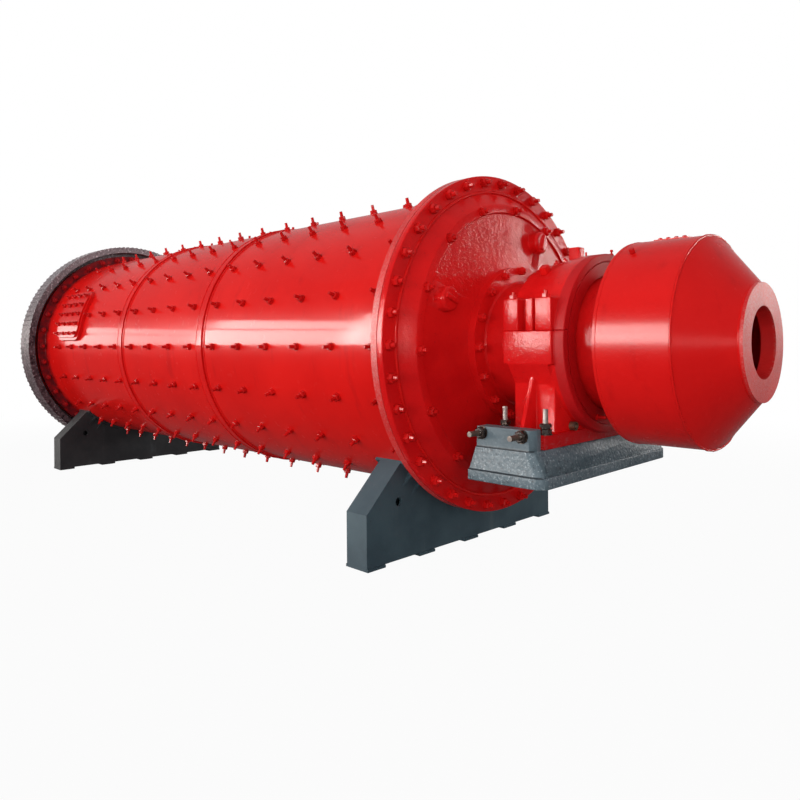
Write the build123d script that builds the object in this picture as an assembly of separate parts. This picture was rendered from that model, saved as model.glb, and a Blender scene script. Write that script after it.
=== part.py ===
from build123d import *
import math
import os

# Ball mill on two transport saddles, with its trunnion bearings and feeder.
# Millimetres. X runs along the mill's axis with the feed end at +X, Z is up,
# and the origin is on the ground under the middle of the whole mill.

# Axis, seats and running gaps
axis_height = 1276.0
seat_gap = 0.3
running_gap = 0.3

# Drum shell
shell_bore = 1830.0
shell_plate = 20.0
shell_length = 5244.0
flange_thickness = 44.0
feed_flange_width = 103.0
drive_flange_width = 80.0
belt_width = 80.0
belt_thickness = 12.0
feed_belt_place = 620.0
drive_belt_place = 740.0

# Manhole on the shell
manhole_from_joint = 729.0
manhole_angle = 18.5
manhole_length = 450.0
manhole_height = 381.0
manhole_corner = 60.0
manhole_rim = 62.0
manhole_frame_depth = 30.0
manhole_lap = 38.0
manhole_cover_plate = 16.0

# Cast heads
head_depth = 152.0
head_wall = 80.0
head_step_outside_bore = 15.0
ledge_inset = 60.0
ledge_width = 52.0
ledge_height = 116.0
ledge_inner_height = 124.0
dish_height = 108.0
hub_rim = 14.0
boss_circle = 1380.0
boss_diameter = 140.0
boss_height = 64.0
boss_count = 4
boss_angle = 21.5
boss_bar = 26.0
boss_rounding = 20.0

# Trunnions
trunnion_flange_diameter = 932.0
trunnion_flange_thickness = 50.0
trunnion_length = 818.0
trunnion_bore = 490.0
journal_diameter = 736.0
neck_fillet = 10.0
head_bore_clearance = 6.0

# Drum feeder on the feed trunnion
feeder_diameter = 1065.0
feeder_plate = 12.0
feeder_back_plate = 16.0
feeder_drum_length = 365.0
feeder_cone_length = 204.0
mouth_ring_diameter = 574.0
mouth_ring_thickness = 20.0
mouth_bore = 351.0
mouth_tube_wall = 12.0
mouth_tube_length = 70.0

# Girth gear
gear_module = 16.0
gear_face = 250.0
gear_overhang = 76.0
gear_rim = 28.0
gear_web = 38.0
gear_flange_clearance = 41.0
gear_step_clearance = 15.0
addendum = 1.0
dedendum = 1.25
tooth_tip_share = 0.30
tooth_root_share = 0.66

# Saddles
saddle_from_joint = 302.0
saddle_width = 170.0
saddle_plate = 16.0
saddle_end_inset = 16.0
saddle_end_height = 319.0
cradle_half_angle = 43.0
cradle_plate = 16.0
cradle_overhang = 45.0
gusset_depth = 95.0
gusset_plate = 12.0
gusset_angle = 37.0
gusset_pitch = 5.5
gussets_each_side = 2
lifting_hole = 50.0
lifting_hole_out = 663.0
lifting_hole_drop = 920.0
foot_thickness = 16.0
foot_length = 140.0
foot_overhang = 8.0
foot_pairs = 2

# Bearing housings
bearing_from_seat = 428.0
barrel_wall = 124.5
barrel_draft = 42.5
barrel_taper_length = 270.0
barrel_inner_reach = 160.0
barrel_outer_reach = 210.0
split_height = 70.0
lug_beyond_barrel = 17.5
lug_length = 300.0
lug_drop = 105.0
lug_rise = 241.0
column_length = 98.0
column_strip = 46.0
strip_recess = 24.0
slot_depth = 60.0
pedestal_length = 250.0
pedestal_inset = 70.0
pedestal_shoulder = 103.0
rib_plate = 26.0
rib_reach = 130.0
bearing_foot_below_barrel = 37.5
bearing_foot_thickness = 70.0
bearing_foot_length = 364.0
bearing_foot_beyond_rib = 20.0
outer_cover_margin = 47.5
inner_cover_width = 24.0
cover_bore_clearance = 8.0
cover_thickness = 12.0
cover_groove = 2.0
oil_box_size = 64.0
oil_box_height = 55.0
cap_bolt_diameter = 22.0
cap_bolt_head = 18.0
cap_bolt_end = 18.0
cap_bolt_inset = 32.0
spot_face_clearance = 5.0

# Sole plates and their screws
sole_shift = 22.0
sole_height = 183.0
sole_length = 468.0
sole_edge = 58.0
sole_top_length = 366.0
sole_step = 5.0
sole_corner = 60.0
sole_lug_thickness = 85.0
sole_lug_gap = 3.0
sole_lug_height = 105.0
sole_lug_length = 356.0
sole_lug_corner = 38.0
screw_diameter = 28.0
screw_spacing = 250.0
screw_shift = 17.5
screw_rise = 72.0
screw_end = 105.0
screw_nut = 20.0
screw_clearance = 1.0
stud_diameter = 27.0
stud_spacing = 250.0
stud_inset = 62.0
stud_rise = 130.0
stud_depth = 60.0
stud_clearance = 1.5
stud_nut = 24.0
nut_ratio = 1.7

# Places worked out from the sizes above
shell_radius = shell_bore / 2 + shell_plate
joint_face = shell_length / 2
manhole_place = manhole_from_joint - joint_face
saddle_place = joint_face - saddle_from_joint
saddle_half_length = shell_radius - saddle_end_inset
head_seat = joint_face + head_depth
trunnion_end = head_seat + trunnion_length
feeder_drum_start = trunnion_end + feeder_back_plate
cone_start = feeder_drum_start + feeder_drum_length
mouth_start = cone_start + feeder_cone_length
mouth_end = mouth_start + mouth_ring_thickness
drum_middle = (trunnion_end - mouth_end) / 2
bearing_place = head_seat + bearing_from_seat
journal_radius = journal_diameter / 2
barrel_radius = journal_radius + barrel_wall
barrel_small_radius = barrel_radius - barrel_draft
cover_bore_radius = journal_radius + cover_bore_clearance
outer_cover_radius = barrel_radius - outer_cover_margin
inner_cover_radius = cover_bore_radius + inner_cover_width
lug_half_width = barrel_radius + lug_beyond_barrel
pedestal_half_width = lug_half_width - pedestal_inset
bearing_foot_half_width = pedestal_half_width + rib_reach + bearing_foot_beyond_rib
bearing_foot_drop = barrel_radius + bearing_foot_below_barrel
sole_half_length = bearing_foot_half_width + sole_lug_gap + sole_lug_thickness
sole_drop = bearing_foot_drop + sole_height
drive_flange_radius = shell_radius + drive_flange_width
feed_flange_radius = shell_radius + feed_flange_width
ends = {"feed": 1, "drive": -1}


def ring(side, points):
    """Solid turned about the mill's axis from (distance from mid drum, radius) points."""
    outline = Polyline(*[(side * place, radius) for place, radius in points], close=True)
    return Pos(drum_middle, 0, axis_height) * revolve(Plane.XZ * make_face(outline), Axis.X)


def tube(side, start, stop, inner, outer):
    """Plain ring between two places along the axis."""
    return ring(side, [(start, inner), (stop, inner), (stop, outer), (start, outer)])


def along_axis(face, start, length):
    """Face drawn across the mill (Y, Z from the axis), drawn out along X from a place."""
    section = Plane(origin=(drum_middle + start, 0, axis_height), x_dir=(0, 1, 0), z_dir=(1, 0, 0))
    return extrude(section * face, amount=length)


def disc(side, start, stop, radius):
    """Round bar between two places along the axis."""
    return along_axis(Circle(radius), min(side * start, side * stop), stop - start)


def block(centre_x, low, high, length):
    """Box across the mill from low (y, z) to high (y, z), centred on a place along X."""
    size = (length, high[0] - low[0], high[1] - low[1])
    middle = ((low[0] + high[0]) / 2, (low[1] + high[1]) / 2)
    return Pos(drum_middle + centre_x, middle[0], axis_height + middle[1]) * Box(*size)


def polar(radius, degrees):
    """Point across the mill at an angle from +Y."""
    turn = math.radians(degrees)
    return (radius * math.cos(turn), radius * math.sin(turn))


def sector(inner, outer, start, stop):
    """Face between two radii and two angles from +Y."""
    middle = (start + stop) / 2
    edges = [
        ThreePointArc(polar(outer, start), polar(outer, middle), polar(outer, stop)),
        Line(polar(outer, stop), polar(inner, stop)),
        ThreePointArc(polar(inner, stop), polar(inner, middle), polar(inner, start)),
        Line(polar(inner, start), polar(outer, start)),
    ]
    return make_face(edges)


def hexagon(diameter, height):
    """Nut or bolt head for a shank of a diameter, standing on the XY plane."""
    return extrude(RegularPolygon(diameter * nut_ratio / 2, 6, major_radius=False), amount=height)


def drum_shell():
    """Rolled shell between its end flanges, with the manhole cut through."""
    reach = joint_face - flange_thickness
    body = tube(1, -reach, reach, shell_bore / 2, shell_radius)
    return body - manhole_block(manhole_length, manhole_height, manhole_corner)


def seam_belts():
    """Two raised belts over the round seams of the shell."""
    inner = shell_radius + seat_gap
    belts = []
    for end, place in (("feed", feed_belt_place), ("drive", drive_belt_place)):
        start = place - belt_width / 2
        belts.append(tube(ends[end], start, start + belt_width, inner, inner + belt_thickness))
    return Compound(belts)


def shell_flange(end):
    """Ring welded to one end of the shell."""
    radius = {"feed": feed_flange_radius, "drive": drive_flange_radius}[end]
    return tube(ends[end], joint_face - flange_thickness, joint_face, shell_bore / 2, radius)


def manhole_block(length, height, corner):
    """Block through the shell wall at the manhole, on the -Y side of the drum."""
    face = RectangleRounded(length, height, corner)
    place = Pos(drum_middle + manhole_place, 0, axis_height)
    return place * Rot(90 - manhole_angle, 0, 0) * extrude(face, amount=shell_bore)


def manhole_patch(inner, depth, extra):
    """Curved plate over the manhole, larger than the opening by extra on each edge."""
    length = manhole_length + 2 * extra
    layer = tube(1, manhole_place - length / 2, manhole_place + length / 2, inner, inner + depth)
    return layer & manhole_block(length, manhole_height + 2 * extra, manhole_corner + extra)


def manhole_frame():
    """Raised frame welded around the manhole."""
    frame = manhole_patch(shell_radius + seat_gap, manhole_frame_depth, manhole_rim)
    return frame - manhole_block(manhole_length, manhole_height, manhole_corner)


def manhole_cover():
    """Curved cover bolted over the manhole frame."""
    inner = shell_radius + manhole_frame_depth + 2 * seat_gap
    return manhole_patch(inner, manhole_cover_plate, manhole_lap)


def head_radii():
    """Radii of a head's step, the two edges of its ledge and its hub."""
    inside = shell_bore / 2
    ledge_outer = inside - ledge_inset
    hub = trunnion_flange_diameter / 2 + hub_rim
    return inside + head_step_outside_bore, ledge_outer, ledge_outer - ledge_width, hub


def head(end):
    """Cast end of the drum: bolting ring, raised ledge, dished face and lifting bosses."""
    flange_radius = {"feed": feed_flange_radius, "drive": drive_flange_radius}[end]
    bore = trunnion_bore / 2 + head_bore_clearance
    step, ledge_outer, ledge_inner, hub = head_radii()
    casting = ring(ends[end], [
        (joint_face, shell_bore / 2),
        (joint_face, flange_radius),
        (joint_face + flange_thickness, flange_radius),
        (joint_face + flange_thickness, step),
        (joint_face + ledge_height, ledge_outer),
        (joint_face + ledge_inner_height, ledge_inner),
        (joint_face + dish_height, ledge_inner),
        (head_seat, hub),
        (head_seat, bore),
        (head_seat - head_wall, bore),
    ])
    for number in range(boss_count):
        casting += lifting_boss(ends[end], boss_angle + number * 360 / boss_count)
    return casting


def lifting_boss(side, degrees):
    """Round boss with a cross bar, standing out of the dished face of a head."""
    ledge_inner, hub = head_radii()[2:]
    up_the_dish = (ledge_inner - boss_circle / 2) / (ledge_inner - hub)
    root = joint_face + dish_height
    top = root + up_the_dish * (head_depth - dish_height) + boss_height
    across = polar(boss_circle / 2, 180 - degrees)
    turned = Rot(180 - degrees, 0, 0)
    place = Pos(drum_middle + side * (root + top) / 2, across[0], axis_height + across[1])
    post = place * Rot(0, 90, 0) * Cylinder(boss_diameter / 2, top - root)
    rims = post.edges().filter_by(GeomType.CIRCLE).sort_by(Axis.X)
    post = fillet(rims[-1] if side > 0 else rims[0], boss_rounding)
    bar_place = Pos(drum_middle + side * top, across[0], axis_height + across[1])
    bar = bar_place * turned * Box(boss_bar, boss_diameter - 2 * boss_rounding, boss_bar)
    return post + bar


def trunnion(end):
    """Hollow trunnion bolted to a head and running through its bearing."""
    face = head_seat + trunnion_flange_thickness
    return ring(ends[end], [
        (head_seat, trunnion_bore / 2),
        (head_seat, trunnion_flange_diameter / 2),
        (face, trunnion_flange_diameter / 2),
        (face, journal_radius + neck_fillet),
        (face + neck_fillet, journal_radius),
        (trunnion_end, journal_radius),
        (trunnion_end, trunnion_bore / 2),
    ])


def feeder_back():
    """Back plate of the feeder on the end of the trunnion."""
    return tube(1, trunnion_end, feeder_drum_start, trunnion_bore / 2, feeder_diameter / 2)


def feeder_drum():
    """Rolled drum of the feeder."""
    outer = feeder_diameter / 2
    return tube(1, feeder_drum_start, cone_start, outer - feeder_plate, outer)


def feeder_cone():
    """Cone from the feeder's drum to its mouth."""
    outer = feeder_diameter / 2
    small = mouth_ring_diameter / 2
    return ring(1, [
        (cone_start, outer - feeder_plate),
        (cone_start, outer),
        (mouth_start, small),
        (mouth_start, small - feeder_plate),
    ])


def feeder_mouth():
    """Mouth ring of the feeder with its short inner tube."""
    bore = mouth_bore / 2
    return ring(1, [
        (mouth_end, bore),
        (mouth_end, mouth_ring_diameter / 2),
        (mouth_start, mouth_ring_diameter / 2),
        (mouth_start, bore + mouth_tube_wall),
        (mouth_end - mouth_tube_length, bore + mouth_tube_wall),
        (mouth_end - mouth_tube_length, bore),
    ])


def gear_radii():
    """Rim bore, root, pitch and tip radii, and teeth, around the drive flange."""
    least_pitch = drive_flange_radius + gear_flange_clearance + gear_rim + dedendum * gear_module
    teeth = 2 * math.ceil(least_pitch / gear_module - 1e-6)
    pitch = gear_module * teeth / 2
    root = pitch - dedendum * gear_module
    return root - gear_rim, root, pitch + addendum * gear_module, teeth


def gear_half(start_angle):
    """Half of the girth gear: toothed rim and a web on the outer face of the head's flange."""
    rim_bore, root, tip, teeth = gear_radii()
    pitch_angle = 360 / teeth
    outline = [polar(root, start_angle)]
    for tooth in range(teeth // 2):
        middle = start_angle + (tooth + 0.5) * pitch_angle
        for radius, share in ((root, -tooth_root_share), (tip, -tooth_tip_share),
                              (tip, tooth_tip_share), (root, tooth_root_share)):
            outline.append(polar(radius, middle + share * pitch_angle / 2))
    stop_angle = start_angle + 180
    outline.append(polar(root, stop_angle))
    edges = [
        Polyline(*outline),
        Line(polar(root, stop_angle), polar(rim_bore, stop_angle)),
        ThreePointArc(polar(rim_bore, stop_angle), polar(rim_bore, start_angle + 90),
                      polar(rim_bore, start_angle)),
        Line(polar(rim_bore, start_angle), polar(root, start_angle)),
    ]
    web_start = -joint_face - flange_thickness - gear_web
    half = along_axis(make_face(edges), web_start - gear_overhang, gear_face)
    web_bore = head_radii()[0] + gear_step_clearance
    return half + along_axis(sector(web_bore, rim_bore + 1, start_angle, stop_angle), web_start, gear_web)


def saddle_radius():
    """Radius of the saddle plates, under the cradle plate that the shell lies in."""
    return shell_radius + cradle_plate + 2 * seat_gap


def saddle_top():
    """Half width and height from the axis of the saddle plates' top corners."""
    return polar(saddle_radius(), cradle_half_angle - 90)


def saddle_side_plates(end):
    """Two profiled plates across the drum, with lifting holes."""
    top_out, top_up = saddle_top()
    low = foot_thickness - axis_height
    end_top = saddle_end_height - axis_height
    radius = saddle_radius()
    edges = [
        Polyline((-top_out, top_up), (-saddle_half_length, end_top), (-saddle_half_length, low),
                 (saddle_half_length, low), (saddle_half_length, end_top), (top_out, top_up)),
        ThreePointArc((top_out, top_up), (0, -radius), (-top_out, top_up)),
    ]
    face = make_face(edges)
    for side in ends.values():
        hole = (side * lifting_hole_out, -lifting_hole_drop)
        face -= Pos(*hole) * Circle(lifting_hole / 2)
    middle = ends[end] * saddle_place
    starts = (middle - saddle_width / 2, middle + saddle_width / 2 - saddle_plate)
    return Compound([along_axis(face, start, saddle_plate) for start in starts])


def saddle_end_plates(end):
    """Bent plates that close both ends of a saddle between its side plates."""
    top_out, top_up = saddle_top()
    low = foot_thickness - axis_height
    end_top = saddle_end_height - axis_height
    run = saddle_half_length - top_out
    rise = top_up - end_top
    slope = math.hypot(run, rise)
    drop = saddle_plate * slope / run
    inside = end_top + saddle_plate * rise / run - drop
    length = saddle_width - 2 * saddle_plate
    start = ends[end] * saddle_place - length / 2
    bore = along_axis(Circle(saddle_radius()), start, length)
    plates = []
    for side in ends.values():
        outline = [(saddle_half_length, low), (saddle_half_length, end_top), (top_out, top_up),
                   (top_out, top_up - drop), (saddle_half_length - saddle_plate, inside),
                   (saddle_half_length - saddle_plate, low)]
        face = make_face(Polyline(*[(side * out, up) for out, up in outline], close=True))
        plates.append(along_axis(face, start, length) - bore)
    return Compound(plates)


def saddle_cradle(end):
    """Curved plate that the shell lies in, wider than the side plates."""
    inner = shell_radius + seat_gap
    face = sector(inner, inner + cradle_plate, -90 - cradle_half_angle, cradle_half_angle - 90)
    length = saddle_width + 2 * cradle_overhang
    return along_axis(face, ends[end] * saddle_place - length / 2, length)


def saddle_gussets(end):
    """Small ribs under the overhanging edges of the cradle plate."""
    rib = make_face(Polyline((0, 0), (cradle_overhang, 0), (0, -gusset_depth), close=True))
    rib = extrude(Plane.XZ * rib, amount=gusset_plate / 2, both=True)
    ribs = []
    for way in ends.values():
        face_x = drum_middle + ends[end] * saddle_place + way * saddle_width / 2
        faced = rib if way == 1 else mirror(rib, Plane.YZ)
        for side in ends.values():
            for number in range(gussets_each_side):
                degrees = side * (gusset_angle - number * gusset_pitch)
                turned = Rot(degrees, 0, 0) * Pos(0, 0, -saddle_radius())
                ribs.append(Pos(face_x, 0, axis_height) * turned * faced)
    return Compound(ribs)


def saddle_feet(end):
    """Thin pads that a saddle stands on."""
    pitch = (saddle_half_length - foot_length / 2) / foot_pairs
    length = saddle_width + 2 * foot_overhang
    pads = []
    for step in range(-foot_pairs, foot_pairs + 1):
        low = (step * pitch - foot_length / 2, -axis_height)
        high = (step * pitch + foot_length / 2, foot_thickness - axis_height)
        pads.append(block(ends[end] * saddle_place, low, high, length))
    return Compound(pads)


def bearing_centre(end):
    """Place of a bearing's middle along the drum."""
    return ends[end] * bearing_place


def sole_centre(end):
    """Place of a sole plate's middle along the drum, nearer to the drum than its bearing's."""
    return ends[end] * (bearing_place - sole_shift)


def barrel_faces():
    """Distances from mid drum of the two faces of a bearing's barrel."""
    return bearing_place - barrel_inner_reach, bearing_place + barrel_outer_reach


def barrel_parts(end):
    """Barrel of a housing and the bores through it for the trunnion and the end covers."""
    side = ends[end]
    inner_face, outer_face = barrel_faces()
    bore_radius = journal_radius + running_gap
    barrel = ring(side, [
        (inner_face, bore_radius / 2),
        (inner_face, barrel_small_radius),
        (inner_face + barrel_taper_length, barrel_radius),
        (outer_face, barrel_radius),
        (outer_face, bore_radius / 2),
    ])
    bore = disc(side, inner_face, outer_face, bore_radius)
    bore += disc(side, inner_face, inner_face + cover_thickness, inner_cover_radius + cover_groove)
    bore += disc(side, outer_face - cover_thickness, outer_face, outer_cover_radius + cover_groove)
    return barrel, bore


def above_split(end):
    """Space above the joint between a bearing's base and cap."""
    reach = 2 * barrel_radius
    return block(bearing_centre(end), (-reach, split_height), (reach, split_height + reach), reach)


def bearing_base(end):
    """Lower half of the housing with its side lugs, pedestal, ribs and foot."""
    centre = bearing_centre(end)
    barrel, bore = barrel_parts(end)
    foot_top = bearing_foot_thickness - bearing_foot_drop
    body = barrel + block(centre, (-lug_half_width, -lug_drop), (lug_half_width, split_height), lug_length)
    shoulder = -lug_drop - pedestal_shoulder
    outline = [(lug_half_width, -lug_drop), (pedestal_half_width, shoulder), (pedestal_half_width, foot_top),
               (-pedestal_half_width, foot_top), (-pedestal_half_width, shoulder), (-lug_half_width, -lug_drop)]
    pedestal = make_face(Polyline(*outline, close=True))
    body += along_axis(pedestal, centre - pedestal_length / 2, pedestal_length)
    for side in ends.values():
        rib = [(pedestal_half_width, -lug_drop), (pedestal_half_width + rib_reach, foot_top),
               (pedestal_half_width - rib_reach, foot_top), (pedestal_half_width - rib_reach, -lug_drop)]
        face = make_face(Polyline(*[(side * out, up) for out, up in rib], close=True))
        body += along_axis(face, centre - rib_plate / 2, rib_plate)
    foot_low = (-bearing_foot_half_width, -bearing_foot_drop)
    body += block(sole_centre(end), foot_low, (bearing_foot_half_width, foot_top), bearing_foot_length)
    for place in stud_places(end):
        hole = Cylinder(stud_diameter / 2 + stud_clearance, 3 * bearing_foot_thickness)
        body -= Pos(place[0], place[1], axis_height + foot_top) * hole
    return body - bore - above_split(end)


def bearing_cap(end):
    """Upper half of the housing with its bolt columns and oil box."""
    centre = bearing_centre(end)
    barrel, bore = barrel_parts(end)
    body = barrel + block(centre, (-lug_half_width, split_height), (lug_half_width, lug_rise), lug_length)
    gap = lug_length - 2 * column_length
    for side in ends.values():
        for depth, length in ((strip_recess, gap), (slot_depth, gap)):
            inner = side * (lug_half_width - depth)
            reach = sorted((inner, side * (lug_half_width + 1)))
            cut = block(centre, (reach[0], split_height), (reach[1], lug_rise + 1), length)
            if depth == slot_depth:
                cut -= block(centre, (reach[0], split_height), (reach[1], lug_rise + 1), column_strip)
            body -= cut
    box_low = (-oil_box_size / 2, barrel_small_radius - oil_box_height)
    box_high = (oil_box_size / 2, barrel_radius + oil_box_height)
    body += block(centre, box_low, box_high, oil_box_size)
    spot_radius = cap_bolt_diameter * nut_ratio / math.sqrt(3) + spot_face_clearance
    spot_face = extrude(Circle(spot_radius), amount=barrel_radius)
    for place in cap_bolt_places(end):
        body -= place * spot_face
    return (body - bore) & above_split(end)


def cap_bolt_places(end):
    """Seats of a cap's bolts on top of its four columns."""
    x_middle = drum_middle + bearing_centre(end)
    x_reach = (lug_length - column_length) / 2
    y_reach = lug_half_width - cap_bolt_inset
    seat = axis_height + lug_rise
    return [Pos(x_middle + way * x_reach, side * y_reach, seat) for way in (-1, 1) for side in (-1, 1)]


def cap_bolts(end):
    """Four bolts that hold a cap down on its base."""
    bolt = hexagon(cap_bolt_diameter, cap_bolt_head)
    bolt += Pos(0, 0, cap_bolt_head) * extrude(Circle(cap_bolt_diameter / 2), amount=cap_bolt_end)
    return Compound([place * bolt for place in cap_bolt_places(end)])


def end_covers(end):
    """Seal rings let into both faces of a housing around the trunnion."""
    inner_face, outer_face = barrel_faces()
    bore = cover_bore_radius
    return Compound([
        tube(ends[end], inner_face, inner_face + cover_thickness, bore, inner_cover_radius),
        tube(ends[end], outer_face - cover_thickness, outer_face, bore, outer_cover_radius),
    ])


def stud_places(end):
    """Places across the ground of a bearing's four hold-down studs."""
    x_middle = drum_middle + bearing_centre(end)
    y = bearing_foot_half_width - stud_inset
    return [(x_middle + way * stud_spacing / 2, side * y) for way in (-1, 1) for side in (-1, 1)]


def screw_places(end):
    """Places along X of the adjusting screws in a sole plate's end lugs."""
    x_middle = drum_middle + sole_centre(end) - ends[end] * screw_shift
    return [x_middle + way * screw_spacing / 2 for way in (-1, 1)]


def round_far_corners(shape, end, radius):
    """Sole plate piece with the climbing edges on its side away from the drum rounded."""
    x_middle = drum_middle + sole_centre(end)
    edges = [edge for edge in shape.edges()
             if abs((edge @ 0).Z - (edge @ 1).Z) > seat_gap and ends[end] * (edge.center().X - x_middle) > 0]
    return fillet(edges, radius)


def sole_plate(end):
    """Cast sole plate: base band, body with sloping sides, and an upstanding lug at each end."""
    centre = sole_centre(end)
    top = -bearing_foot_drop
    edge_top = sole_edge - sole_drop
    body_reach = sole_half_length + sole_step
    band_reach = body_reach + sole_step
    band = block(centre, (-band_reach, -sole_drop), (band_reach, edge_top), sole_length)
    edge_out = sole_length / 2 - sole_step
    sides = [(-edge_out, edge_top), (edge_out, edge_top), (sole_top_length / 2, top), (-sole_top_length / 2, top)]
    section = Plane.XZ * make_face(Polyline(*sides, close=True))
    wedge = Pos(drum_middle + centre, 0, axis_height) * extrude(section, amount=body_reach, both=True)
    body = round_far_corners(band, end, sole_corner) + round_far_corners(wedge, end, sole_corner)
    for side in ends.values():
        reach = sorted((side * (sole_half_length - sole_lug_thickness), side * sole_half_length))
        lug = block(centre, (reach[0], top), (reach[1], top + sole_lug_height), sole_lug_length)
        body += round_far_corners(lug, end, sole_lug_corner)
    for x in screw_places(end):
        hole = Cylinder(screw_diameter / 2 + screw_clearance, 3 * sole_half_length)
        body -= Pos(x, 0, axis_height + top + screw_rise) * Rot(90, 0, 0) * hole
    for place in stud_places(end):
        hole = Cylinder(stud_diameter / 2 + stud_clearance, 2 * stud_depth)
        body -= Pos(place[0], place[1], axis_height + top) * hole
    return body


def adjusting_screws(end):
    """Screws through the sole plate's lugs that bear on the housing's foot, with lock nuts."""
    length = sole_half_length + screw_end - bearing_foot_half_width
    screw = extrude(Circle(screw_diameter / 2), amount=length)
    nut_place = sole_half_length - bearing_foot_half_width
    screw += Pos(0, 0, nut_place) * hexagon(screw_diameter, screw_nut)
    z = axis_height - bearing_foot_drop + screw_rise
    screws = []
    for x in screw_places(end):
        for side in ends.values():
            place = Pos(x, side * bearing_foot_half_width, z)
            screws.append(place * Rot(-90 * side, 0, 0) * screw)
    return Compound(screws)


def anchor_studs(end):
    """Hold-down studs from the sole plate through the foot, with nuts on the foot."""
    length = stud_depth + bearing_foot_thickness + stud_rise
    stud = extrude(Circle(stud_diameter / 2), amount=length)
    stud += Pos(0, 0, stud_depth + bearing_foot_thickness) * hexagon(stud_diameter, stud_nut)
    z = axis_height - bearing_foot_drop - stud_depth
    return Compound([Pos(place[0], place[1], z) * stud for place in stud_places(end)])


nodes = {
    "drum_shell": drum_shell(),
    "seam_belts": seam_belts(),
    "manhole_frame": manhole_frame(),
    "manhole_cover": manhole_cover(),
    "feeder_back_plate": feeder_back(),
    "feeder_drum": feeder_drum(),
    "feeder_cone": feeder_cone(),
    "feeder_mouth": feeder_mouth(),
    "girth_gear_upper": gear_half(0),
    "girth_gear_lower": gear_half(180),
}
makers = {
    "shell_flange": shell_flange,
    "head": head,
    "trunnion": trunnion,
    "saddle_side_plates": saddle_side_plates,
    "saddle_end_plates": saddle_end_plates,
    "saddle_cradle": saddle_cradle,
    "saddle_gussets": saddle_gussets,
    "saddle_feet": saddle_feet,
    "bearing_base": bearing_base,
    "bearing_cap": bearing_cap,
    "bearing_end_covers": end_covers,
    "bearing_cap_bolts": cap_bolts,
    "sole_plate": sole_plate,
    "adjusting_screws": adjusting_screws,
    "anchor_studs": anchor_studs,
}
for end_name in ends:
    for piece, maker in makers.items():
        nodes[f"{end_name}_{piece}"] = maker(end_name)

os.makedirs("parts", exist_ok=True)
for node, shape in nodes.items():
    export_step(shape, f"parts/{node}.step")
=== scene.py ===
import math
import random

import bmesh
import bpy
from mathutils import Matrix, Vector
from mathutils import noise as unevenness


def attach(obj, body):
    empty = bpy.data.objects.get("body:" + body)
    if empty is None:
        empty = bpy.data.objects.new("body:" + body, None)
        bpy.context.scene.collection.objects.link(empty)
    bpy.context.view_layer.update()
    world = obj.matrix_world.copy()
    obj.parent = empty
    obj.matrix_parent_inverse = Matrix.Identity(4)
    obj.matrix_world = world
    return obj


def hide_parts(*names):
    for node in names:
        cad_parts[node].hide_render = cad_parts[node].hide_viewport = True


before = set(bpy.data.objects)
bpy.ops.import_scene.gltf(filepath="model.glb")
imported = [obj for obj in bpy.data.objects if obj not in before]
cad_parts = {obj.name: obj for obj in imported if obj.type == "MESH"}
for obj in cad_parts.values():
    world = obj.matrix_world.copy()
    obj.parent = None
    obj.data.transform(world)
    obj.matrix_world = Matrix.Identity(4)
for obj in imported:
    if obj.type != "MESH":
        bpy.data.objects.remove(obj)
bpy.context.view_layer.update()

chance = random.Random(11)

# Sizes of the mill that the pieces here sit on, in metres
axis_height = 1.276
shell_middle = -0.3025
shell_radius = 0.935
feed_belt = 0.620
drive_belt = 0.740
belt_width = 0.080
joint_face = 2.622
flange_plate = 0.044
flange_weld = 2.575
flange_seal_radius = 0.938
ledge_face = 2.742
ledge_circle = 0.829
head_seat = 2.774
trunnion_flange = 0.050
bearing_middle = 3.202
foot_top = 0.816
stud_reach = (0.125, 0.528)
screw_places = (3.0375, 3.2875)
screw_height = 0.818
sole_lug_face = 0.678
sole_body_top = 0.746
sole_band_top = 0.621
feeder_radius = 0.5325
feeder_drum_start = 3.608
feeder_cone_start = 3.973
feeder_mouth_start = 4.177
feeder_mouth_radius = 0.287
manhole_middle = -1.893
manhole_angle = 18.5
manhole_cover_radius = 0.9816
gear_middle = -2.655
gear_face = 0.250
gear_root = 1.084
gear_tip = 1.120
liner_first_ring = 2.456
liner_pitch = 0.331
liner_end_rings = (2.482, -2.158)
flange_bolt_circle = 0.995
gear_nut_circle = 0.975
gear_head_circle = 0.982
gear_web = 0.038
trunnion_bolt_circle = 0.440
feeder_plate_middle = 3.778
feeder_peg_middle = 3.683
drain_face = 3.317
drain_across = 0.285
level_pipe_circle = 0.427
cap_plug_middle = 3.167
grease_nipple_middle = 3.395
cap_pin_middle = 3.262


class Wire:
    """Output of a shader node. Sums of wires and numbers add Math nodes to its tree."""

    def __init__(self, tree, socket=None):
        self.tree = tree
        self.socket = socket

    def node(self, kind, settings=None, sockets=None, output=0):
        """Any node: its settings first, then the values or wires of its sockets."""
        made = self.tree.nodes.new(kind)
        for setting, value in (settings or {}).items():
            setattr(made, setting, value)
        for socket, value in (sockets or {}).items():
            if isinstance(value, Wire):
                self.tree.links.new(value.socket, made.inputs[socket])
            else:
                made.inputs[socket].default_value = value
        return Wire(self.tree, made.outputs[output])

    def maths(self, operation, first, second):
        return self.node("ShaderNodeMath", {"operation": operation}, {0: first, 1: second})

    def __add__(self, other):
        return self.maths("ADD", self, other)

    def __radd__(self, other):
        return self.maths("ADD", other, self)

    def __sub__(self, other):
        return self.maths("SUBTRACT", self, other)

    def __rsub__(self, other):
        return self.maths("SUBTRACT", other, self)

    def __mul__(self, other):
        return self.maths("MULTIPLY", self, other)

    def __rmul__(self, other):
        return self.maths("MULTIPLY", other, self)

    def __abs__(self):
        return self.maths("ABSOLUTE", self, 0.0)


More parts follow.
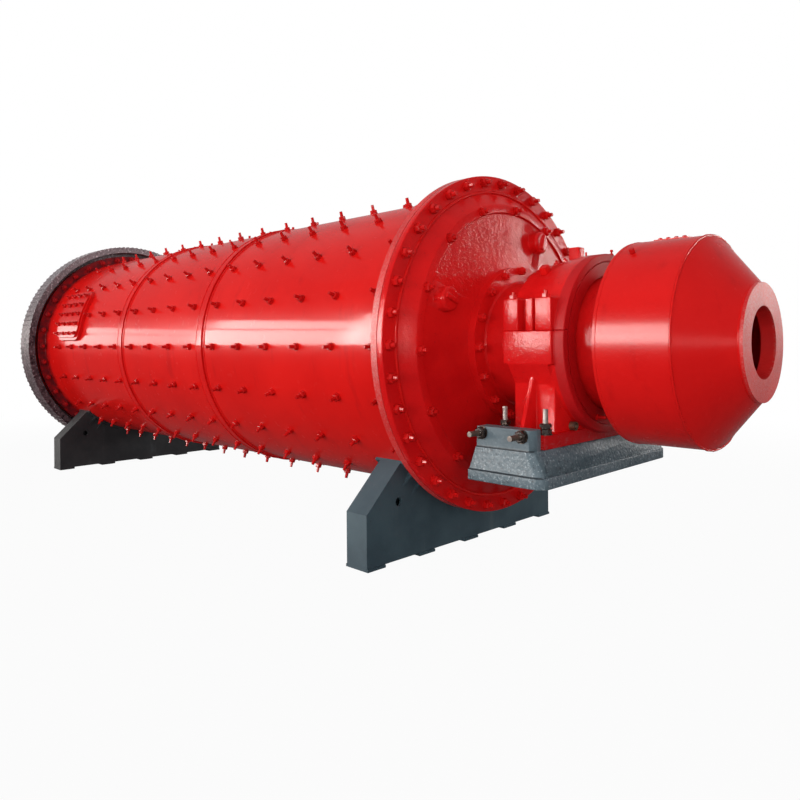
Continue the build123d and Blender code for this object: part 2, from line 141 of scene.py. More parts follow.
def noise(point, scale, detail=3.0, roughness=0.5):
    """Cloudy pattern from 0 to 1."""
    sockets = {"Vector": point, "Scale": scale, "Detail": detail, "Roughness": roughness}
    return point.node("ShaderNodeTexNoise", {}, sockets)


def mask(value, low, high):
    """Smooth step from 0 at low to 1 at high."""
    sockets = {"Value": value, "From Min": low, "From Max": high}
    return value.node("ShaderNodeMapRange", {"interpolation_type": "SMOOTHSTEP"}, sockets)


def tint(amount, first, second):
    """First colour where amount is 0 and second where it is 1."""
    return amount.node("ShaderNodeMix", {"data_type": "RGBA"}, {0: amount, 6: first, 7: second}, 2)


def colour(red, green, blue):
    return (red, green, blue, 1.0)


def one_way(point, letter):
    """One coordinate of a point: X along the mill, Y across it or Z upwards."""
    return point.node("ShaderNodeSeparateXYZ", {}, {0: point}, letter)


def stretched(point, x, y, z):
    """The point with its axes scaled, for patterns that run one way."""
    return point.node("ShaderNodeMapping", {}, {"Vector": point, "Scale": (x, y, z)})


def coated(name, base, roughness, height, fixed, metallic=0.0):
    """Material from the wires of its base colour, roughness and height, and its other values."""
    tree = base.tree
    shader = tree.nodes["Principled BSDF"]
    bump = height.node("ShaderNodeBump", {}, {"Strength": 1.0, "Distance": 1.0, "Height": height})
    values = {"Base Color": base, "Roughness": roughness, "Normal": bump, "Metallic": metallic} | fixed
    for socket, value in values.items():
        if isinstance(value, Wire):
            tree.links.new(value.socket, shader.inputs[socket])
        else:
            shader.inputs[socket].default_value = value
    return bpy.data.materials[name]


def surface_point(name):
    """New material and the point on the piece that its patterns read."""
    material = bpy.data.materials.new(name)
    material.use_nodes = True
    return Wire(material.node_tree).node("ShaderNodeTexCoord", output="Object")


def red_gloss(name, deep, bright, waves, peel, dirt, gear_shade_share=0.0, haze=0.06):
    """Gloss red paint on rolled plate: uneven coats, orange peel, dust, and painted shade darkening it
    towards the gear.
    """
    point = surface_point(name)
    coats = mask(noise(point, 1.4, 4.0, 0.6), 0.25, 0.75)
    base = tint(coats, deep, bright)
    runs = noise(stretched(point, 9.0, 9.0, 1.3), 1.0, 4.0, 0.6)
    base = tint(mask(runs, 0.56, 0.74) * 0.35, base, colour(0.42, 0.004, 0.005))
    specks = mask(noise(point, 75.0, 4.0, 0.7), 0.68, 0.76) * dirt
    base = tint(specks, base, colour(0.16, 0.010, 0.010))
    along = one_way(point, "X")
    # Painted shade near the gear end: the base colour turns deep maroon there.
    gear_shade = mask(along + 0.30 * noise(point, 16.0, 5.0, 0.6), -2.56, -2.80)
    base = tint(gear_shade * gear_shade_share, base, colour(0.100, 0.013, 0.018))
    roughness = 0.18 + 0.14 * noise(point, 18.0, 4.0) + 0.3 * specks
    height = waves * noise(point, 4.0, 2.0) + peel * noise(point, 55.0, 3.0, 0.6)
    height = height + 0.4 * peel * noise(point, 170.0, 2.0)
    fixed = {"Coat Weight": 0.17, "Coat Roughness": haze, "Specular IOR Level": 0.02}
    return coated(name, base, roughness, height, fixed)


def rough_red(name, deep, bright, dusty_from=-9.0):
    """Dull red paint on the flame-cut rim of a plate, dusty from a place along the mill."""
    point = surface_point(name)
    along = one_way(point, "X")
    base = tint(mask(noise(point, 5.0, 5.0, 0.6), 0.3, 0.7), deep, bright)
    dust = mask(noise(point, 85.0, 5.0, 0.7), 0.44, 0.64)
    dust = dust * mask(along, dusty_from - 0.006, dusty_from)
    base = tint(dust * 0.24, base, colour(0.48, 0.24, 0.22))
    roughness = 0.34 + 0.22 * noise(point, 40.0, 4.0)
    height = 0.0014 * noise(point, 95.0, 4.0, 0.6)
    return coated(name, base, roughness, height, {"Specular IOR Level": 0.18})


def red_cast(name, deep, bright, scuffed_below=0.0, dull_shaded_past=9.0):
    """Gloss red paint on the grainy skin of a sand casting, scuffed low down, and dull far out with
    painted shade darkening it there.
    """
    point = surface_point(name)
    along = one_way(point, "X")
    level = one_way(point, "Z")
    coats = mask(noise(point, 2.2, 5.0, 0.6), 0.28, 0.72)
    base = tint(coats, deep, bright)
    pits = mask(noise(point, 60.0, 5.0, 0.65), 0.60, 0.72)
    base = tint(pits * 0.45, base, colour(0.24, 0.005, 0.007))
    scuffs = mask(noise(stretched(point, 24.0, 30.0, 60.0), 1.0, 5.0, 0.7), 0.52, 0.64)
    scuffs = scuffs * mask(level, scuffed_below, scuffed_below - 0.03)
    base = tint(scuffs * 0.55, base, colour(0.42, 0.14, 0.14))
    height = 0.0030 * noise(point, 10.0, 3.0) + 0.0014 * noise(point, 58.0, 4.0, 0.6) - 0.0004 * pits
    height = height + 0.0007 * noise(point, 120.0, 3.0, 0.6)
    # Far out along the mill the paint turns duller, and painted shade darkens its base colour.
    dull_and_shaded = mask(abs(along - shell_middle), dull_shaded_past, dull_shaded_past + 0.014)
    base = tint(dull_and_shaded * 0.5, base, colour(0.26, 0.004, 0.008))
    roughness = 0.08 + 0.10 * noise(point, 30.0, 4.0) + 0.12 * pits + 0.2 * scuffs + 0.4 * dull_and_shaded
    return coated(name, base, roughness, height, {"Specular IOR Level": 0.09})


def slate_paint(name):
    """Dull slate paint on welded plate, scuffed and dusty."""
    point = surface_point(name)
    along = one_way(point, "X")
    worn = mask(noise(point, 3.0, 5.0, 0.6), 0.3, 0.7)
    bluer = tint(worn, colour(0.038, 0.062, 0.078), colour(0.058, 0.092, 0.110))
    greyer = tint(worn, colour(0.022, 0.022, 0.024), colour(0.036, 0.036, 0.038))
    base = tint(mask(along, -0.5, 0.5), greyer, bluer)
    dust = mask(noise(stretched(point, 6.0, 6.0, 2.0), 1.0, 6.0, 0.7), 0.54, 0.78)
    base = tint(dust * 0.30, base, colour(0.13, 0.15, 0.16))
    scuffs = mask(noise(stretched(point, 40.0, 40.0, 9.0), 1.0, 5.0, 0.7), 0.66, 0.74)
    base = tint(scuffs * 0.5, base, colour(0.020, 0.022, 0.027))
    roughness = 0.42 + 0.20 * noise(point, 14.0, 4.0)
    height = 0.0010 * noise(point, 6.0, 3.0) + 0.00020 * noise(point, 120.0, 3.0)
    return coated(name, base, roughness, height, {"Specular IOR Level": 0.12})


def hammered_grey(name):
    """Grey enamel, smooth on the lugs and hammered on the rough body of the sole plates, with painted
    shade along the steps at their ends.
    """
    point = surface_point(name)
    clouds = mask(noise(point, 4.0, 5.0, 0.6), 0.3, 0.7)
    base = tint(clouds, colour(0.072, 0.104, 0.122), colour(0.112, 0.150, 0.172))
    level = one_way(point, "Z")
    rough = 0.15 + 0.85 * mask(level, sole_body_top + 0.012, sole_body_top - 0.012)
    flecks = mask(noise(point, 70.0, 5.0, 0.7), 0.54, 0.66)
    base = tint(flecks * rough * 0.60, base, colour(0.42, 0.48, 0.51))
    hollows = mask(noise(point, 42.0, 4.0, 0.6), 0.55, 0.68)
    base = tint(hollows * rough * 0.65, base, colour(0.040, 0.048, 0.058))
    at_ends = mask(abs(one_way(point, "Y")), sole_lug_face - 0.020, sole_lug_face - 0.012)
    # Painted shade: thin dark lines along the steps on the end faces.
    for step in (sole_body_top, sole_band_top):
        step_shade = mask(abs(level - step), 0.007, 0.003)
        base = tint(at_ends * step_shade * 0.8, base, colour(0.018, 0.022, 0.028))
    dimples = point.node("ShaderNodeTexVoronoi", {"feature": "SMOOTH_F1"},
                         {"Vector": point, "Scale": 46.0, "Smoothness": 0.5})
    roughness = 0.34 + 0.20 * noise(point, 40.0, 3.0)
    grain = 0.0024 * dimples + 0.0016 * noise(point, 60.0, 5.0, 0.65)
    height = rough * grain + 0.004 * noise(point, 7.0, 2.0)
    return coated(name, base, roughness, height, {"Specular IOR Level": 0.10})


def greased_iron(name):
    """Cast gear iron under dark grease and grey dust, with painted light making it paler towards the top.
    """
    point = surface_point(name)
    clots = noise(point, 22.0, 6.0, 0.7)
    base = tint(mask(clots, 0.36, 0.62), colour(0.022, 0.011, 0.014), colour(0.100, 0.062, 0.070))
    level = one_way(point, "Z")
    # Painted light: the iron, its dust and its pale flecks turn paler towards the top.
    high = mask(level, 1.3, 2.2)
    base = tint(high * 0.6, base, colour(0.28, 0.25, 0.26))
    dust = tint(high, colour(0.50, 0.36, 0.39), colour(0.64, 0.59, 0.61))
    pale = mask(noise(point, 48.0, 5.0, 0.7), 0.54, 0.66) * (0.5 + 0.5 * high)
    base = tint(pale, base, dust)
    roughness = 0.32 + 0.35 * noise(point, 30.0, 4.0)
    height = 0.003 * clots + 0.001 * noise(point, 90.0, 4.0, 0.6)
    return coated(name, base, roughness, height, {"Specular IOR Level": 0.08})


def oily_black(name):
    """Black steel of nuts, wet with oil, with dust caught in it."""
    point = surface_point(name)
    dust = mask(noise(point, 46.0, 5.0, 0.7), 0.52, 0.72)
    base = tint(dust * 0.8, colour(0.024, 0.015, 0.012), colour(0.160, 0.105, 0.080))
    roughness = 0.24 + 0.40 * dust
    height = 0.0008 * noise(point, 90.0, 4.0)
    return coated(name, base, roughness, height, {"Specular IOR Level": 0.5, "Coat Weight": 0.2}, 0.4)


def bare_steel(name, pitch_along, bright, rusty):
    """Bare threaded steel with thread rings along one axis and rust in places."""
    point = surface_point(name)
    rings = point.node("ShaderNodeTexWave", {"bands_direction": pitch_along, "wave_profile": "TRI"},
                       {"Vector": point, "Scale": 62.0, "Distortion": 0.0})
    rust = mask(noise(point, 34.0, 6.0, 0.7), 0.60 - rusty, 0.80 - rusty)
    base = tint(rust, bright, colour(0.070, 0.042, 0.030))
    roughness = 0.30 + 0.35 * rust
    metallic = 0.7 - 0.6 * rust
    height = 0.0010 * rings + 0.0006 * noise(point, 120.0, 4.0)
    return coated(name, base, roughness, height, {"Specular IOR Level": 0.5}, metallic)


shell_red = red_gloss("shell_red", colour(0.61, 0.006, 0.005), colour(0.71, 0.009, 0.007),
                      0.0016, 0.0004, 0.35, 0.5, 0.09)
plate_red = red_gloss("plate_red", colour(0.57, 0.006, 0.006), colour(0.68, 0.009, 0.008),
                      0.0020, 0.0009, 0.45, 1.0)
feeder_red = red_gloss("feeder_red", colour(0.58, 0.006, 0.006), colour(0.66, 0.009, 0.008),
                       0.0012, 0.0014, 0.3, 0.0, 0.19)
bolt_red = red_gloss("bolt_red", colour(0.42, 0.005, 0.005), colour(0.62, 0.008, 0.008),
                     0.0010, 0.0006, 0.6, 0.8, 0.22)
rim_red = rough_red("rim_red", colour(0.52, 0.010, 0.010), colour(0.66, 0.016, 0.015))
mouth_red = rough_red("mouth_red", colour(0.52, 0.010, 0.010), colour(0.66, 0.016, 0.015),
                      shell_middle + feeder_mouth_start + 0.012)
casting_red = red_cast("casting_red", colour(0.53, 0.005, 0.006), colour(0.68, 0.009, 0.009))
housing_red = red_cast("housing_red", colour(0.56, 0.005, 0.006), colour(0.70, 0.009, 0.009),
                       0.820, 3.346)
saddle_slate = slate_paint("saddle_slate")
sole_grey = hammered_grey("sole_grey")
gear_grime = greased_iron("gear_grime")
nut_black = oily_black("nut_black")
screw_steel = bare_steel("screw_steel", "Y", colour(0.15, 0.13, 0.10), 0.30)
stud_steel = bare_steel("stud_steel", "Z", colour(0.36, 0.32, 0.30), 0.16)
pipe_rust = bare_steel("pipe_rust", "X", colour(0.22, 0.11, 0.06), 0.20)


def settle(name, bm, body, finish, sharp=35.0):
    """Object from a finished mesh, smooth shaded, riding on its body."""
    mesh = bpy.data.meshes.new(name)
    bm.to_mesh(mesh)
    bm.free()
    mesh.materials.append(finish)
    for polygon in mesh.polygons:
        polygon.use_smooth = True
    mesh.set_sharp_from_angle(angle=math.radians(sharp))
    piece = bpy.data.objects.new(name, mesh)
    bpy.context.scene.collection.objects.link(piece)
    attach(piece, body)
    return piece


def on_drum(along, radius, degrees, turn=0.0):
    """Place whose Z points away from the mill's axis, at an angle above level on the -Y side."""
    centre = Matrix.Translation((shell_middle + along, 0, axis_height))
    tilt = Matrix.Rotation(math.radians(90 - degrees), 4, "X")
    return centre @ tilt @ Matrix.Translation((0, 0, radius)) @ Matrix.Rotation(turn, 4, "Z")


def on_face(along, radius, degrees, facing, turn=0.0):
    """Place whose Z points along the axis: 1 to the feed end, -1 to the drive end."""
    angle = math.radians(degrees)
    y = -radius * math.cos(angle)
    z = axis_height + radius * math.sin(angle)
    place = Matrix.Translation((shell_middle + along, y, z))
    return place @ Matrix.Rotation(facing * math.pi / 2, 4, "Y") @ Matrix.Rotation(turn, 4, "Z")


def on_side(along, y, height, turn=0.0):
    """Place whose Z points level across the mill, away from its axis."""
    place = Matrix.Translation((shell_middle + along, y, height))
    outwards = Matrix.Rotation(math.copysign(math.pi / 2, -y), 4, "X")
    return place @ outwards @ Matrix.Rotation(turn, 4, "Z")


def any_turn():
    """Where a nut happened to stop turning."""
    return chance.uniform(0, math.pi / 3)


def fastener(washer, sunk, across, nut, stud, reach):
    """Washer, nut and stud end on the XY plane, with the washer sunk into a curved seat."""
    bm = bmesh.new()
    seat = 0.006
    bmesh.ops.create_cone(bm, cap_ends=True, segments=12, radius1=washer / 2, radius2=washer / 2,
                          depth=seat + sunk, matrix=Matrix.Translation((0, 0, (seat - sunk) / 2)))
    made = bmesh.ops.create_cone(bm, cap_ends=True, segments=6, radius1=across / math.sqrt(3),
                                 radius2=across / math.sqrt(3), depth=nut,
                                 matrix=Matrix.Translation((0, 0, seat + nut / 2)))
    crown = [edge for edge in {edge for vert in made["verts"] for edge in vert.link_edges}
             if all(vert.co.z > seat + nut / 2 for vert in edge.verts)]
    bmesh.ops.bevel(bm, geom=crown, offset=0.10 * across, affect="EDGES", segments=1, profile=0.5,
                    material=-1)
    bmesh.ops.create_cone(bm, cap_ends=True, segments=8, radius1=stud / 2, radius2=0.42 * stud,
                          depth=reach, matrix=Matrix.Translation((0, 0, seat + nut + reach / 2)))
    mesh = bpy.data.meshes.new("fastener")
    bm.to_mesh(mesh)
    bm.free()
    return mesh


def cluster(name, pattern, places, body, finish=bolt_red):
    """Copies of one fastener at many places, as a single piece."""
    bm = bmesh.new()
    for place in places:
        start = len(bm.verts)
        bm.from_mesh(pattern)
        bm.verts.ensure_lookup_table()
        bmesh.ops.transform(bm, matrix=place, verts=bm.verts[start:])
    return settle(name, bm, body, finish)


def rounded(node, radius, body, finish):
    """Copy of a CAD casting with its long edges rounded, which stands for it."""
    bm = bmesh.new()
    bm.from_mesh(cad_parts[node].data)
    bmesh.ops.remove_doubles(bm, verts=bm.verts, dist=0.00002)
    bmesh.ops.dissolve_limit(bm, angle_limit=math.radians(0.4), verts=bm.verts, edges=bm.edges)
    roomy = {vert for vert in bm.verts
             if min(edge.calc_length() for edge in vert.link_edges) > 1.2 * radius}
    edges = [edge for edge in bm.edges
             if len(edge.link_faces) == 2 and edge.calc_face_angle() > math.radians(25)
             and roomy.issuperset(edge.verts)]
    bmesh.ops.bevel(bm, geom=edges, offset=radius, affect="EDGES", segments=3, profile=0.5, material=-1,
                    clamp_overlap=False)
    piece = settle(f"{node}_rounded", bm, body, finish, 40.0)
    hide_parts(node)
    return piece


def weld_rings(name, rings, finish=plate_red):
    """Weld beads round the drum, each at a place along it with a radius and a bead size."""
    bm = bmesh.new()
    for along, radius, bead in rings:
        x = shell_middle + along
        circle = Matrix.Translation((x, 0, axis_height + radius)) @ Matrix.Rotation(math.pi / 2, 4, "X")
        made = bmesh.ops.create_circle(bm, segments=6, radius=bead, matrix=circle)
        edges = list({edge for vert in made["verts"] for edge in vert.link_edges})
        bmesh.ops.spin(bm, geom=made["verts"] + edges, cent=(x, 0, axis_height), axis=(1, 0, 0),
                       angle=2 * math.pi, steps=180, use_merge=True)
    bmesh.ops.remove_doubles(bm, verts=bm.verts, dist=0.00002)
    bmesh.ops.recalc_face_normals(bm, faces=bm.faces)
    bm.normal_update()
    for vert in bm.verts:
        vert.co += vert.normal * chance.uniform(-0.0012, 0.0012)
    return settle(name, bm, "drum", finish, 80.0)


def grease_ring(name, along, width, inner, outer):
    """Grease packed between the gear's teeth, short of their tips, uneven on all its faces."""
    bm = bmesh.new()
    x = shell_middle + along
    section = Matrix.Diagonal((width / math.sqrt(2), (outer - inner) / math.sqrt(2), 1, 1))
    middle = Matrix.Translation((x, 0, axis_height + (inner + outer) / 2))
    upright = Matrix.Rotation(math.pi / 2, 4, "X")
    square = Matrix.Rotation(math.pi / 4, 4, "Z")
    bmesh.ops.create_circle(bm, segments=4, radius=1.0, matrix=middle @ upright @ section @ square)
    bmesh.ops.subdivide_edges(bm, edges=bm.edges[:], cuts=4)
    bmesh.ops.spin(bm, geom=bm.verts[:] + bm.edges[:], cent=(x, 0, axis_height), axis=(1, 0, 0),
                   angle=2 * math.pi, steps=276, use_merge=True)
    bmesh.ops.remove_doubles(bm, verts=bm.verts, dist=0.00002)
    bmesh.ops.recalc_face_normals(bm, faces=bm.faces)
    bm.normal_update()
    for vert in bm.verts:
        swell = 0.003 * unevenness.noise(9 * vert.co) + 0.003 * unevenness.noise(34 * vert.co)
        vert.co += vert.normal * swell
    return settle(name, bm, "drum", gear_grime, 60.0)


def pipe_stub(bm, place, outer, wall, reach, bore):
    """Short pipe along the place's Z, open at its far end down to the depth of its bore."""
    made = bmesh.ops.create_cone(bm, cap_ends=True, segments=20, radius1=outer, radius2=outer, depth=reach,
                                 matrix=place @ Matrix.Translation((0, 0, reach / 2)))
    bm.normal_update()
    out = place.to_3x3() @ Vector((0, 0, 1))
    faces = {face for vert in made["verts"] for face in vert.link_faces}
    mouth = max(faces, key=lambda face: face.normal.dot(out))
    bmesh.ops.inset_individual(bm, faces=[mouth], thickness=wall)
    floor_of_bore = bmesh.ops.extrude_discrete_faces(bm, faces=[mouth])["faces"][0]
    bmesh.ops.translate(bm, verts=floor_of_bore.verts[:], vec=-bore * out)


def turned(bm, lengths, taper, place_at):
    """Fitting of short tapered lengths in a row, each with a radius and its two ends."""
    for radius, low, high in lengths:
        bmesh.ops.create_cone(bm, cap_ends=True, segments=14, radius1=radius, radius2=taper * radius,
                              depth=high - low, matrix=place_at((low + high) / 2))


# Finishes of the CAD pieces
finish_of = (("drum_shell", shell_red), ("feed_shell_flange", rim_red), ("feeder_mouth", mouth_red),
             ("girth_gear", gear_grime), ("saddle", saddle_slate), ("sole_plate", sole_grey),
             ("adjusting_screws", screw_steel), ("anchor_studs", stud_steel), ("cap_bolts", bolt_red),
             ("feeder", feeder_red), ("bearing", housing_red), ("head", casting_red),
             ("trunnion", casting_red), ("", plate_red))
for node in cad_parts:
    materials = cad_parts[node].data.materials
    materials.clear()
    materials.append(next(finish for word, finish in finish_of if word in node))

# Castings with rounded edges
for end in ("feed", "drive"):
    rounded(f"{end}_bearing_base", 0.006, "base", housing_red)
    rounded(f"{end}_bearing_cap", 0.006, "base", housing_red)
    rounded(f"{end}_sole_plate", 0.006, "base", sole_grey)
    rounded(f"{end}_head", 0.006, "drum", casting_red)

# Liner bolts through the shell, clear of the manhole, and of the saddles as the drum turns
liner_bolt = fastener(0.052, 0.004, 0.041, 0.020, 0.024, 0.036)
liner_rows = [18.5 * row - 0.5 for row in range(-3, 6)] + [19.27 * row + 92.0 for row in range(1, 11)]
liner_rings = [liner_first_ring - liner_pitch * ring for ring in range(15)]
liner_rings[0], liner_rings[-1] = liner_end_rings
liner_places = []
for along in liner_rings:
    for degrees in liner_rows:
        by_manhole = abs(along - manhole_middle) < 0.32 and abs(degrees - manhole_angle) < 17
        if not by_manhole:
            liner_places.append(on_drum(along, shell_radius, degrees, any_turn()))
cluster("liner_bolts", liner_bolt, liner_places, "drum")

# Bolts round the end flanges, with nuts outside and heads inside
flange_nut = fastener(0.060, 0.0, 0.050, 0.026, 0.030, 0.030)
flange_head = fastener(0.060, 0.0, 0.050, 0.020, 0.030, 0.004)
flange_places = {flange_nut: [], flange_head: []}
for number in range(36):
    degrees = number * 10
    for bolt, along, radius, facing in (
            (flange_nut, joint_face + flange_plate, flange_bolt_circle, 1),
            (flange_head, joint_face - flange_plate, flange_bolt_circle, -1),
            (flange_nut, flange_plate - joint_face, gear_nut_circle, 1),
            (flange_head, -joint_face - flange_plate - gear_web, gear_head_circle, -1)):
        flange_places[bolt].append(on_face(along, radius, degrees, facing, any_turn()))
cluster("flange_nuts", flange_nut, flange_places[flange_nut], "drum")
cluster("flange_bolt_heads", flange_head, flange_places[flange_head], "drum")

# Bolts of the head liners and of the trunnion flanges
ledge_bolt = fastener(0.060, 0.016, 0.046, 0.022, 0.026, 0.024)
trunnion_bolt = fastener(0.050, 0.0, 0.044, 0.028, 0.028, 0.014)
ledge_places = []
trunnion_places = []
for side in (1, -1):
    for number in range(15):
        ledge_places.append(on_face(side * ledge_face, ledge_circle, number * 24 - 2, side, any_turn()))
    for number in range(16):
        face = side * (head_seat + trunnion_flange)
        degrees = number * 22.5 - 2.5
        trunnion_places.append(on_face(face, trunnion_bolt_circle, degrees, side, any_turn()))
cluster("head_liner_bolts", ledge_bolt, ledge_places, "drum")
cluster("trunnion_bolts", trunnion_bolt, trunnion_places, "drum")

# Bolts of the manhole cover
cover_bolt = fastener(0.040, 0.004, 0.032, 0.016, 0.018, 0.020)
cover_places = []
for column in range(4):
    for row in range(5):
        along = manhole_middle + (column - 1.5) * 0.145
        degrees = manhole_angle + (row - 2) * 5.6
        cover_places.append(on_drum(along, manhole_cover_radius, degrees, any_turn()))
cluster("manhole_bolts", cover_bolt, cover_places, "drum")

# Welds of the shell and of the feeder
shell_beads = [(side * flange_weld, shell_radius + 0.003, 0.007) for side in (1, -1)]
for middle in (feed_belt, -drive_belt):
    for edge in (1, -1):
        shell_beads.append((middle + edge * (belt_width / 2 - 0.003), shell_radius + 0.0115, 0.0045))
        shell_beads.append((middle + edge * (belt_width / 2 + 0.016), shell_radius - 0.001, 0.008))
weld_rings("shell_welds", shell_beads)
weld_rings("flange_seals", [(side * (joint_face + flange_plate), flange_seal_radius, 0.010)
                            for side in (1, -1)])
weld_rings("feeder_welds", [(feeder_drum_start, feeder_radius - 0.001, 0.003),
                            (feeder_cone_start, feeder_radius - 0.001, 0.006),
                            (feeder_mouth_start, feeder_mouth_radius - 0.001, 0.005)], feeder_red)

# Small fittings: inspection plate and peg on the feeder
plate_bolt = fastener(0.023, 0.003, 0.019, 0.004, 0.012, 0.001)
plate_places = []
for column in range(4):
    along = feeder_plate_middle + 0.042 * (column - 1.5)
    for side in (1, -1):
        plate_places.append(on_drum(along, feeder_radius + 0.002, 90 + 4.6 * side, any_turn()))
cluster("feeder_plate_bolts", plate_bolt, plate_places, "drum")
bm = bmesh.new()
bmesh.ops.create_grid(bm, x_segments=6, y_segments=10, size=0.5,
                      matrix=Matrix.Diagonal((0.178, 0.126, 1, 1)))
for vert in bm.verts:
    bent = on_drum(feeder_plate_middle, feeder_radius, 90 + math.degrees(vert.co.y / feeder_radius))
    vert.co = bent @ Vector((vert.co.x, 0, 0))
bmesh.ops.recalc_face_normals(bm, faces=bm.faces)
bmesh.ops.solidify(bm, geom=bm.faces[:], thickness=-0.005)
settle("feeder_plate", bm, "drum", feeder_red)

bm = bmesh.new()
bmesh.ops.create_cone(bm, cap_ends=True, segments=16, radius1=0.014, radius2=0.013, depth=0.032,
                      matrix=on_drum(feeder_peg_middle, feeder_radius + 0.010, 57.4))
rims = [edge for edge in bm.edges if edge.calc_face_angle(0) > 0.8]
bmesh.ops.bevel(bm, geom=rims, offset=0.003, affect="EDGES", segments=2, profile=0.5, material=-1)
settle("feeder_peg", bm, "drum", bolt_red)

# Grease in the teeth of the gear
grease_ring("gear_grease", gear_middle, gear_face - 0.008, gear_root - 0.012, gear_tip - 0.005)

# Nuts on the hold-down studs and the adjusting screws
foundation_nut = fastener(0.072, 0.0, 0.054, 0.026, 0.030, 0.003)
lock_nut = fastener(0.050, 0.0, 0.054, 0.020, 0.030, 0.003)
screw_nut = fastener(0.072, 0.0, 0.057, 0.024, 0.034, 0.002)
nut_places = {foundation_nut: [], lock_nut: [], screw_nut: []}
for side in (1, -1):
    for edge in (1, -1):
        for end in (1, -1):
            foot = Matrix.Translation((shell_middle + side * bearing_middle + end * stud_reach[0],
                                       edge * stud_reach[1], foot_top))
            nut_places[foundation_nut].append(foot @ Matrix.Rotation(any_turn(), 4, "Z"))
            raised = foot @ Matrix.Translation((0, 0, 0.032))
            nut_places[lock_nut].append(raised @ Matrix.Rotation(any_turn(), 4, "Z"))
        for along in screw_places:
            face = on_side(side * along, edge * sole_lug_face, screw_height, any_turn())
            nut_places[screw_nut].append(face)
cluster("foundation_nuts", foundation_nut, nut_places[foundation_nut], "base", nut_black)
cluster("foundation_lock_nuts", lock_nut, nut_places[lock_nut], "base", nut_black)
cluster("screw_nuts", screw_nut, nut_places[screw_nut], "base", nut_black)

# Plugs, drains and nipples on the bearing housings
cap_nut = fastener(0.034, 0.006, 0.030, 0.014, 0.016, 0.012)
cap_nuts = [on_drum(side * along, radius, 90, any_turn())
            for side in (1, -1) for along, radius in ((3.069, 0.4535), (3.128, 0.4625))]
cluster("cap_nuts", cap_nut, cap_nuts, "base", plate_red)

bm = bmesh.new()
for side in (1, -1):
    outward = Matrix.Rotation(side * math.pi / 2, 4, "Y")
    for edge in (1, -1):
        place = Matrix.Translation((shell_middle + side * drain_face, edge * drain_across,
                                    foot_top + 0.024))
        pipe_stub(bm, place @ outward, 0.023, 0.005, 0.042, 0.030)
settle("oil_drains", bm, "base", pipe_rust)

bm = bmesh.new()
for side in (1, -1):
    for degrees in (-67.5, -112.5):
        turned(bm, ((0.017, 3.400, 3.424), (0.010, 3.424, 3.468)), 0.92,
               lambda along: on_face(side * along, level_pipe_circle, degrees, side))
settle("level_pipes", bm, "base", bolt_red)

bm = bmesh.new()
for side in (1, -1):
    for degrees in (56, 124):
        place = on_drum(side * cap_plug_middle, 0.484, degrees)
        bmesh.ops.create_cube(bm, size=1.0, matrix=place @ Matrix.Diagonal((0.042, 0.046, 0.056, 1)))
bmesh.ops.bevel(bm, geom=bm.edges[:], offset=0.004, affect="EDGES", segments=2, profile=0.5, material=-1)
settle("cap_plugs", bm, "base", plate_red)

bm = bmesh.new()
for side in (1, -1):
    turned(bm, ((0.013, 0.482, 0.500), (0.0055, 0.500, 0.512), (0.009, 0.512, 0.522)), 0.85,
           lambda radius: on_drum(side * grease_nipple_middle, radius, 95))
    turned(bm, ((0.010, 0.480, 0.492), (0.0065, 0.492, 0.516)), 0.85,
           lambda radius: on_drum(side * cap_pin_middle, radius, 90))
settle("oil_nipples", bm, "base", bolt_red)


def whitened(wire):
    """1 for what the camera sees, straight or through glass, and a little for what gloss mirrors."""
    rays = {name: wire.node("ShaderNodeLightPath", output=name)
            for name in ("Is Camera Ray", "Is Glossy Ray", "Is Transmission Ray")}
    shown = rays["Is Camera Ray"] + rays["Is Transmission Ray"] + 0.18 * rays["Is Glossy Ray"]
    return mask(shown, 0.0, 1.0)


# White surroundings, and a floor that keeps the mill's shadow
world = bpy.data.worlds.new("studio")
bpy.context.scene.world = world
world.use_nodes = True
sky = tint(whitened(Wire(world.node_tree)), colour(0.52, 0.52, 0.525), colour(1.0, 1.0, 1.0))
world.node_tree.links.new(sky.socket, world.node_tree.nodes["Background"].inputs["Color"])

floor_point = surface_point("floor_white")
floor_tree = floor_point.tree
floor_shader = floor_tree.nodes["Principled BSDF"]
floor_shader.inputs["Base Color"].default_value = colour(0.18, 0.18, 0.18)
floor_shader.inputs["Roughness"].default_value = 0.9
floor_shader.inputs["Specular IOR Level"].default_value = 0.0
away = floor_point.node("ShaderNodeVectorMath", {"operation": "LENGTH"}, {0: floor_point}, "Value")
white = floor_point.node("ShaderNodeEmission", {}, {"Color": colour(1.0, 1.0, 1.0), "Strength": 1.0})
white_share = whitened(floor_point) * (0.96 + 0.04 * mask(away, 4.0, 9.0))
blended = floor_point.node("ShaderNodeMixShader", {}, {0: white_share, 2: white})
floor_tree.links.new(floor_shader.outputs["BSDF"], blended.socket.node.inputs[1])
floor_tree.links.new(blended.socket, floor_tree.nodes["Material Output"].inputs["Surface"])

bm = bmesh.new()
bmesh.ops.create_grid(bm, x_segments=1, y_segments=1, size=60.0)
floor_mesh = bpy.data.meshes.new("floor")
bm.to_mesh(floor_mesh)
bm.free()
floor_mesh.materials.append(bpy.data.materials["floor_white"])
floor = bpy.data.objects.new("floor", floor_mesh)
bpy.context.scene.collection.objects.link(floor)


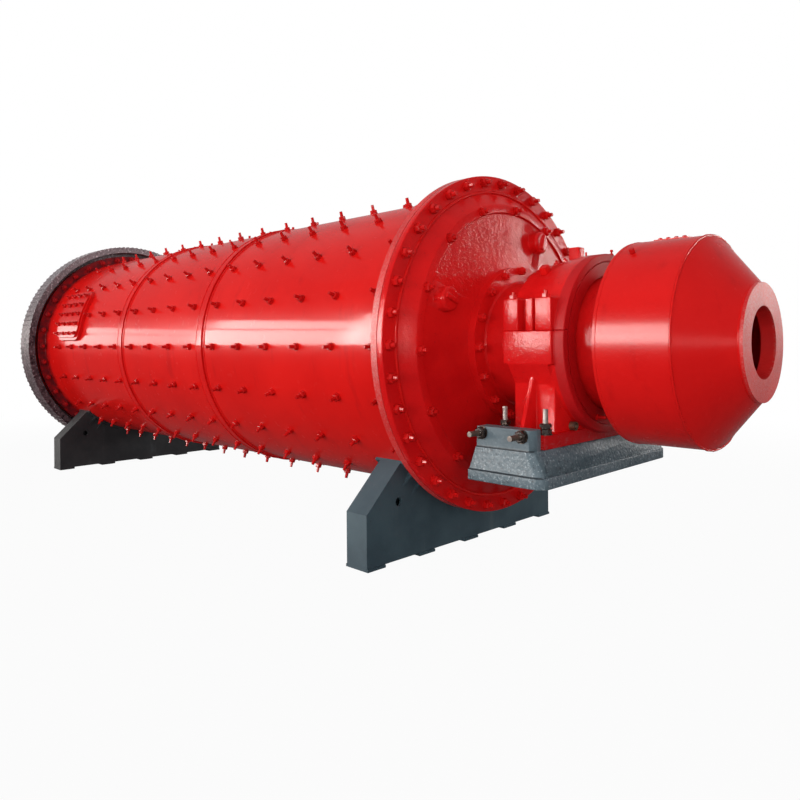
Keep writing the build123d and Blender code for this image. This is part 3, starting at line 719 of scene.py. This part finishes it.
def panel(name, place, aim, width, height, glow, hue=(1.0, 1.0, 1.0), lights=True, mirrored=True):
    """Soft rectangular lamp aimed at a point, which lights matt faces, shows in gloss, or both."""
    lamp = bpy.data.lights.new(name, "AREA")
    lamp.shape = "RECTANGLE"
    lamp.size = width
    lamp.size_y = height
    lamp.energy = glow * math.pi * width * height
    lamp.color = hue
    lamp_object = bpy.data.objects.new(name, lamp)
    lamp_object.rotation_euler = (Vector(aim) - Vector(place)).to_track_quat("-Z", "Y").to_euler()
    lamp_object.location = place
    lamp_object.visible_camera = False
    lamp_object.visible_diffuse = lights
    lamp_object.visible_glossy = mirrored
    bpy.context.scene.collection.objects.link(lamp_object)


# Lamps: soft light on the paint first, then windows and doorways that show in its gloss
daylight = (1.0, 0.96, 0.91)
panel("key", (-1.0, -10.8, 2.3), (0.0, 0.0, 1.2), 10.0, 5.0, 4.7, mirrored=False)
panel("fill", (9.2, -6.6, 1.8), (2.0, 0.0, 1.0), 7.0, 4.0, 3.8, mirrored=False)
panel("roof", (0.0, -1.0, 8.0), (0.0, 0.0, 1.0), 14.0, 8.0, 0.2)
panel("behind", (3.7, 11.3, 4.2), (2.0, 0.0, 1.6), 5.2, 4.0, 11.0, mirrored=False)
panel("back_window", (3.7, 11.3, 4.2), (2.0, 0.0, 1.6), 5.2, 4.0, 2.4, lights=False)
panel("yard", (7.8, 11.0, 3.9), (2.5, 0.5, 1.7), 1.4, 2.4, 30.0, daylight, lights=False)
panel("gate", (7.45, 11.5, 2.3), (3.9, 0.0, 1.4), 1.6, 1.0, 26.0, daylight, lights=False)
panel("lane", (9.0, -9.0, 2.2), (2.5, -0.5, 1.3), 3.0, 2.4, 25.0, daylight, lights=False)
windows = (("window_far", -12.8, -5.6, 2.3, 5.2, 2.0, 11.0),
           ("window_middle", -10.5, -9.3, 3.0, 4.2, 3.4, 34.0),
           ("window_near", -5.2, -12.4, 3.7, 9.0, 4.8, 55.0))
for name, x, y, middle, width, height, glow in windows:
    for part, share, lift in (("upper", 0.34, 0.33), ("lower", 0.60, -0.20)):
        level = middle + lift * height
        panel(f"{name}_{part}", (x, y, level), (0.0, 0.0, level), width, share * height, glow, daylight,
              lights=False)
panel("door", (17.6, -2.9, 1.5), (3.8, -0.4, 1.3), 3.0, 1.2, 8.0, daylight, lights=False)

# Camera at the photo's place
camera = bpy.data.cameras.new("camera")
camera.lens = 31.53
camera.sensor_width = 36.0
camera.shift_y = -0.0741
camera.clip_end = 200.0
camera_object = bpy.data.objects.new("camera", camera)
camera_object.location = (5.0011, -3.5711, 1.2993)
camera_object.rotation_euler = (math.pi / 2, 0.0085, 0.77988)
bpy.context.scene.collection.objects.link(camera_object)
bpy.context.scene.camera = camera_object
bpy.context.scene.view_settings.view_transform = "Standard"
